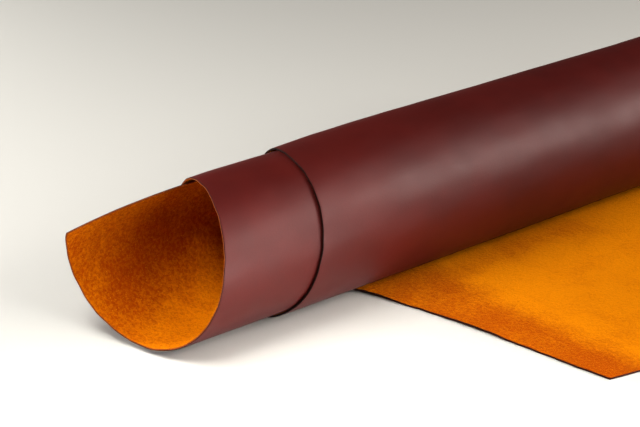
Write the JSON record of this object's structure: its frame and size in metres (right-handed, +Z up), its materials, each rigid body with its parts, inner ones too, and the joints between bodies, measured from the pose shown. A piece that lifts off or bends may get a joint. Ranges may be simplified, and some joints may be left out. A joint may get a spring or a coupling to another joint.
{
  "type": "rolled leather hide",
  "caption": "Piece of leather, loosely rolled with the grain side out, its last length left open and flat in front of the roll.",
  "frame": {"origin": "middle of the footprint, on the surface that the leather lies on", "axes": "+X along the axis of the roll, the open length runs towards -Y, +Z up"},
  "size_m": [0.817, 0.4346, 0.1274],
  "materials": {
    "leather": "burgundy smooth grain side, orange-tan suede flesh side, dark cut edge"
  },
  "bodies": {
    "root": {"hide": "leather"}
  },
  "joints": []
}
